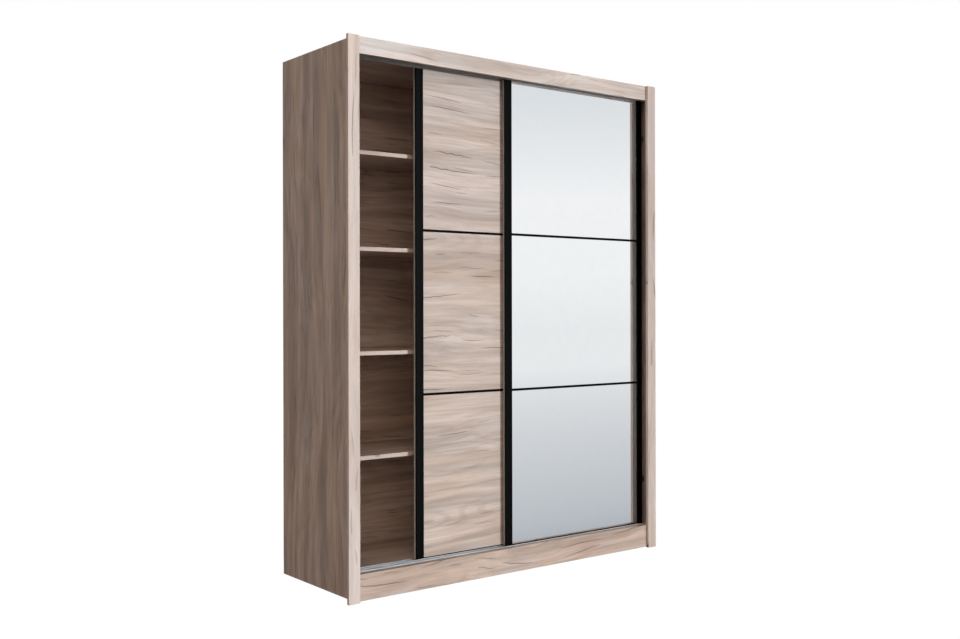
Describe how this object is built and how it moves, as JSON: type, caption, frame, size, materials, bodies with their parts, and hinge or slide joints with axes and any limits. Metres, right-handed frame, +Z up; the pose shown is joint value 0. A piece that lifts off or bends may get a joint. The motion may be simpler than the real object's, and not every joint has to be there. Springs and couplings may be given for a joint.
{
  "type": "sliding door wardrobe",
  "caption": "Floor-standing wardrobe with a wood-decor and a mirror sliding door on parallel tracks, open shelves on the left and a hanging rail on the right.",
  "frame": {"origin": "centre of the footprint, on the floor", "axes": "+Z up, +X to the right and +Y to the back as seen from the front, doors slide along X"},
  "size_m": [1.5, 0.6, 2.15],
  "materials": {
    "oak_board_upright": "satin wood decor, grain upright",
    "oak_board": "satin wood decor, grain across",
    "oak_back_sheet": "satin wood decor, grain across",
    "oak_door_infill": "satin wood decor, grain across",
    "mirror_glass": "clear silvered glass",
    "mirror_backing": "plain fibreboard",
    "black_door_profile": "satin black",
    "track_silver": "satin anodised",
    "track_grey": "satin grey",
    "brush_pile": "short grey pile",
    "black_nylon": "matt",
    "wheel_nylon": "matt white nylon",
    "foot_plastic": "matt black",
    "chrome_rail": "polished",
    "beech_dowel": "plain",
    "zinc_hardware": "zinc plated"
  },
  "bodies": {
    "carcass": {"back_panel_left": "oak_back_sheet", "back_panel_nails": "zinc_hardware", "back_panel_right": "oak_back_sheet", "bottom_fascia": "oak_board", "bottom_panel": "oak_board", "cam_fasteners": "zinc_hardware", "centre_legs": "foot_plastic", "centre_partition": "oak_board", "door_buffers": "foot_plastic", "face_board_dowels": "beech_dowel", "face_board_left": "oak_board_upright", "face_board_right": "oak_board_upright", "fascia_brackets": "zinc_hardware", "hanging_rail": "chrome_rail", "hat_shelf": "oak_board", "lower_track": "track_silver", "rail_sockets": "chrome_rail", "rear_plinth": "oak_board", "shelf_1": "oak_board", "shelf_2": "oak_board", "shelf_3": "oak_board", "shelf_4": "oak_board", "shelf_pins": "zinc_hardware", "side_legs": "foot_plastic", "side_panel_left": "oak_board_upright", "side_panel_right": "oak_board_upright", "top_fascia": "oak_board", "top_panel": "oak_board", "track_screws": "zinc_hardware", "upper_track": "track_grey", "wall_brackets": "zinc_hardware"},
    "front_door": {"front_door_backing": "mirror_backing", "front_door_bottom_rail": "black_door_profile", "front_door_brushes": "brush_pile", "front_door_dividers": "black_door_profile", "front_door_lower_mirror": "mirror_glass", "front_door_middle_mirror": "mirror_glass", "front_door_screws": "zinc_hardware", "front_door_stile_left": "black_door_profile", "front_door_stile_right": "black_door_profile", "front_door_top_guides": "black_nylon", "front_door_top_rail": "black_door_profile", "front_door_upper_mirror": "mirror_glass", "front_door_wheel_brackets": "zinc_hardware"},
    "rear_door": {"rear_door_bottom_rail": "black_door_profile", "rear_door_brushes": "brush_pile", "rear_door_dividers": "black_door_profile", "rear_door_lower_panel": "oak_door_infill", "rear_door_middle_panel": "oak_door_infill", "rear_door_screws": "zinc_hardware", "rear_door_stile_left": "black_door_profile", "rear_door_stile_right": "black_door_profile", "rear_door_top_guides": "black_nylon", "rear_door_top_rail": "black_door_profile", "rear_door_upper_panel": "oak_door_infill", "rear_door_wheel_brackets": "zinc_hardware"},
    "front_wheel_left": {"front_wheel_left": "wheel_nylon"},
    "front_wheel_right": {"front_wheel_right": "wheel_nylon"},
    "rear_wheel_left": {"rear_wheel_left": "wheel_nylon"},
    "rear_wheel_right": {"rear_wheel_right": "wheel_nylon"}
  },
  "joints": [
    {"name": "front_door_slide", "type": "slide", "parent": "carcass", "child": "front_door", "axis": [1, 0, 0], "range_m": [-0.705, 0.009]},
    {"name": "rear_door_slide", "type": "slide", "parent": "carcass", "child": "rear_door", "axis": [1, 0, 0], "range_m": [-0.308, 0.406]},
    {"name": "front_wheel_left_spin", "type": "hinge", "parent": "front_door", "child": "front_wheel_left", "pos_m": [0.038, -0.218, 0.1157], "axis": [0, 1, 0], "continuous": true},
    {"name": "front_wheel_right_spin", "type": "hinge", "parent": "front_door", "child": "front_wheel_right", "pos_m": [0.658, -0.218, 0.1157], "axis": [0, 1, 0], "continuous": true},
    {"name": "rear_wheel_left_spin", "type": "hinge", "parent": "rear_door", "child": "rear_wheel_left", "pos_m": [-0.359, -0.187, 0.1157], "axis": [0, 1, 0], "continuous": true},
    {"name": "rear_wheel_right_spin", "type": "hinge", "parent": "rear_door", "child": "rear_wheel_right", "pos_m": [0.261, -0.187, 0.1157], "axis": [0, 1, 0], "continuous": true}
  ],
  "couplings": [
    {"joint": "front_wheel_left_spin", "follows": "front_door_slide", "rad_per_m": 83.333},
    {"joint": "front_wheel_right_spin", "follows": "front_door_slide", "rad_per_m": 83.333},
    {"joint": "rear_wheel_left_spin", "follows": "rear_door_slide", "rad_per_m": 83.333},
    {"joint": "rear_wheel_right_spin", "follows": "rear_door_slide", "rad_per_m": 83.333}
  ]
}
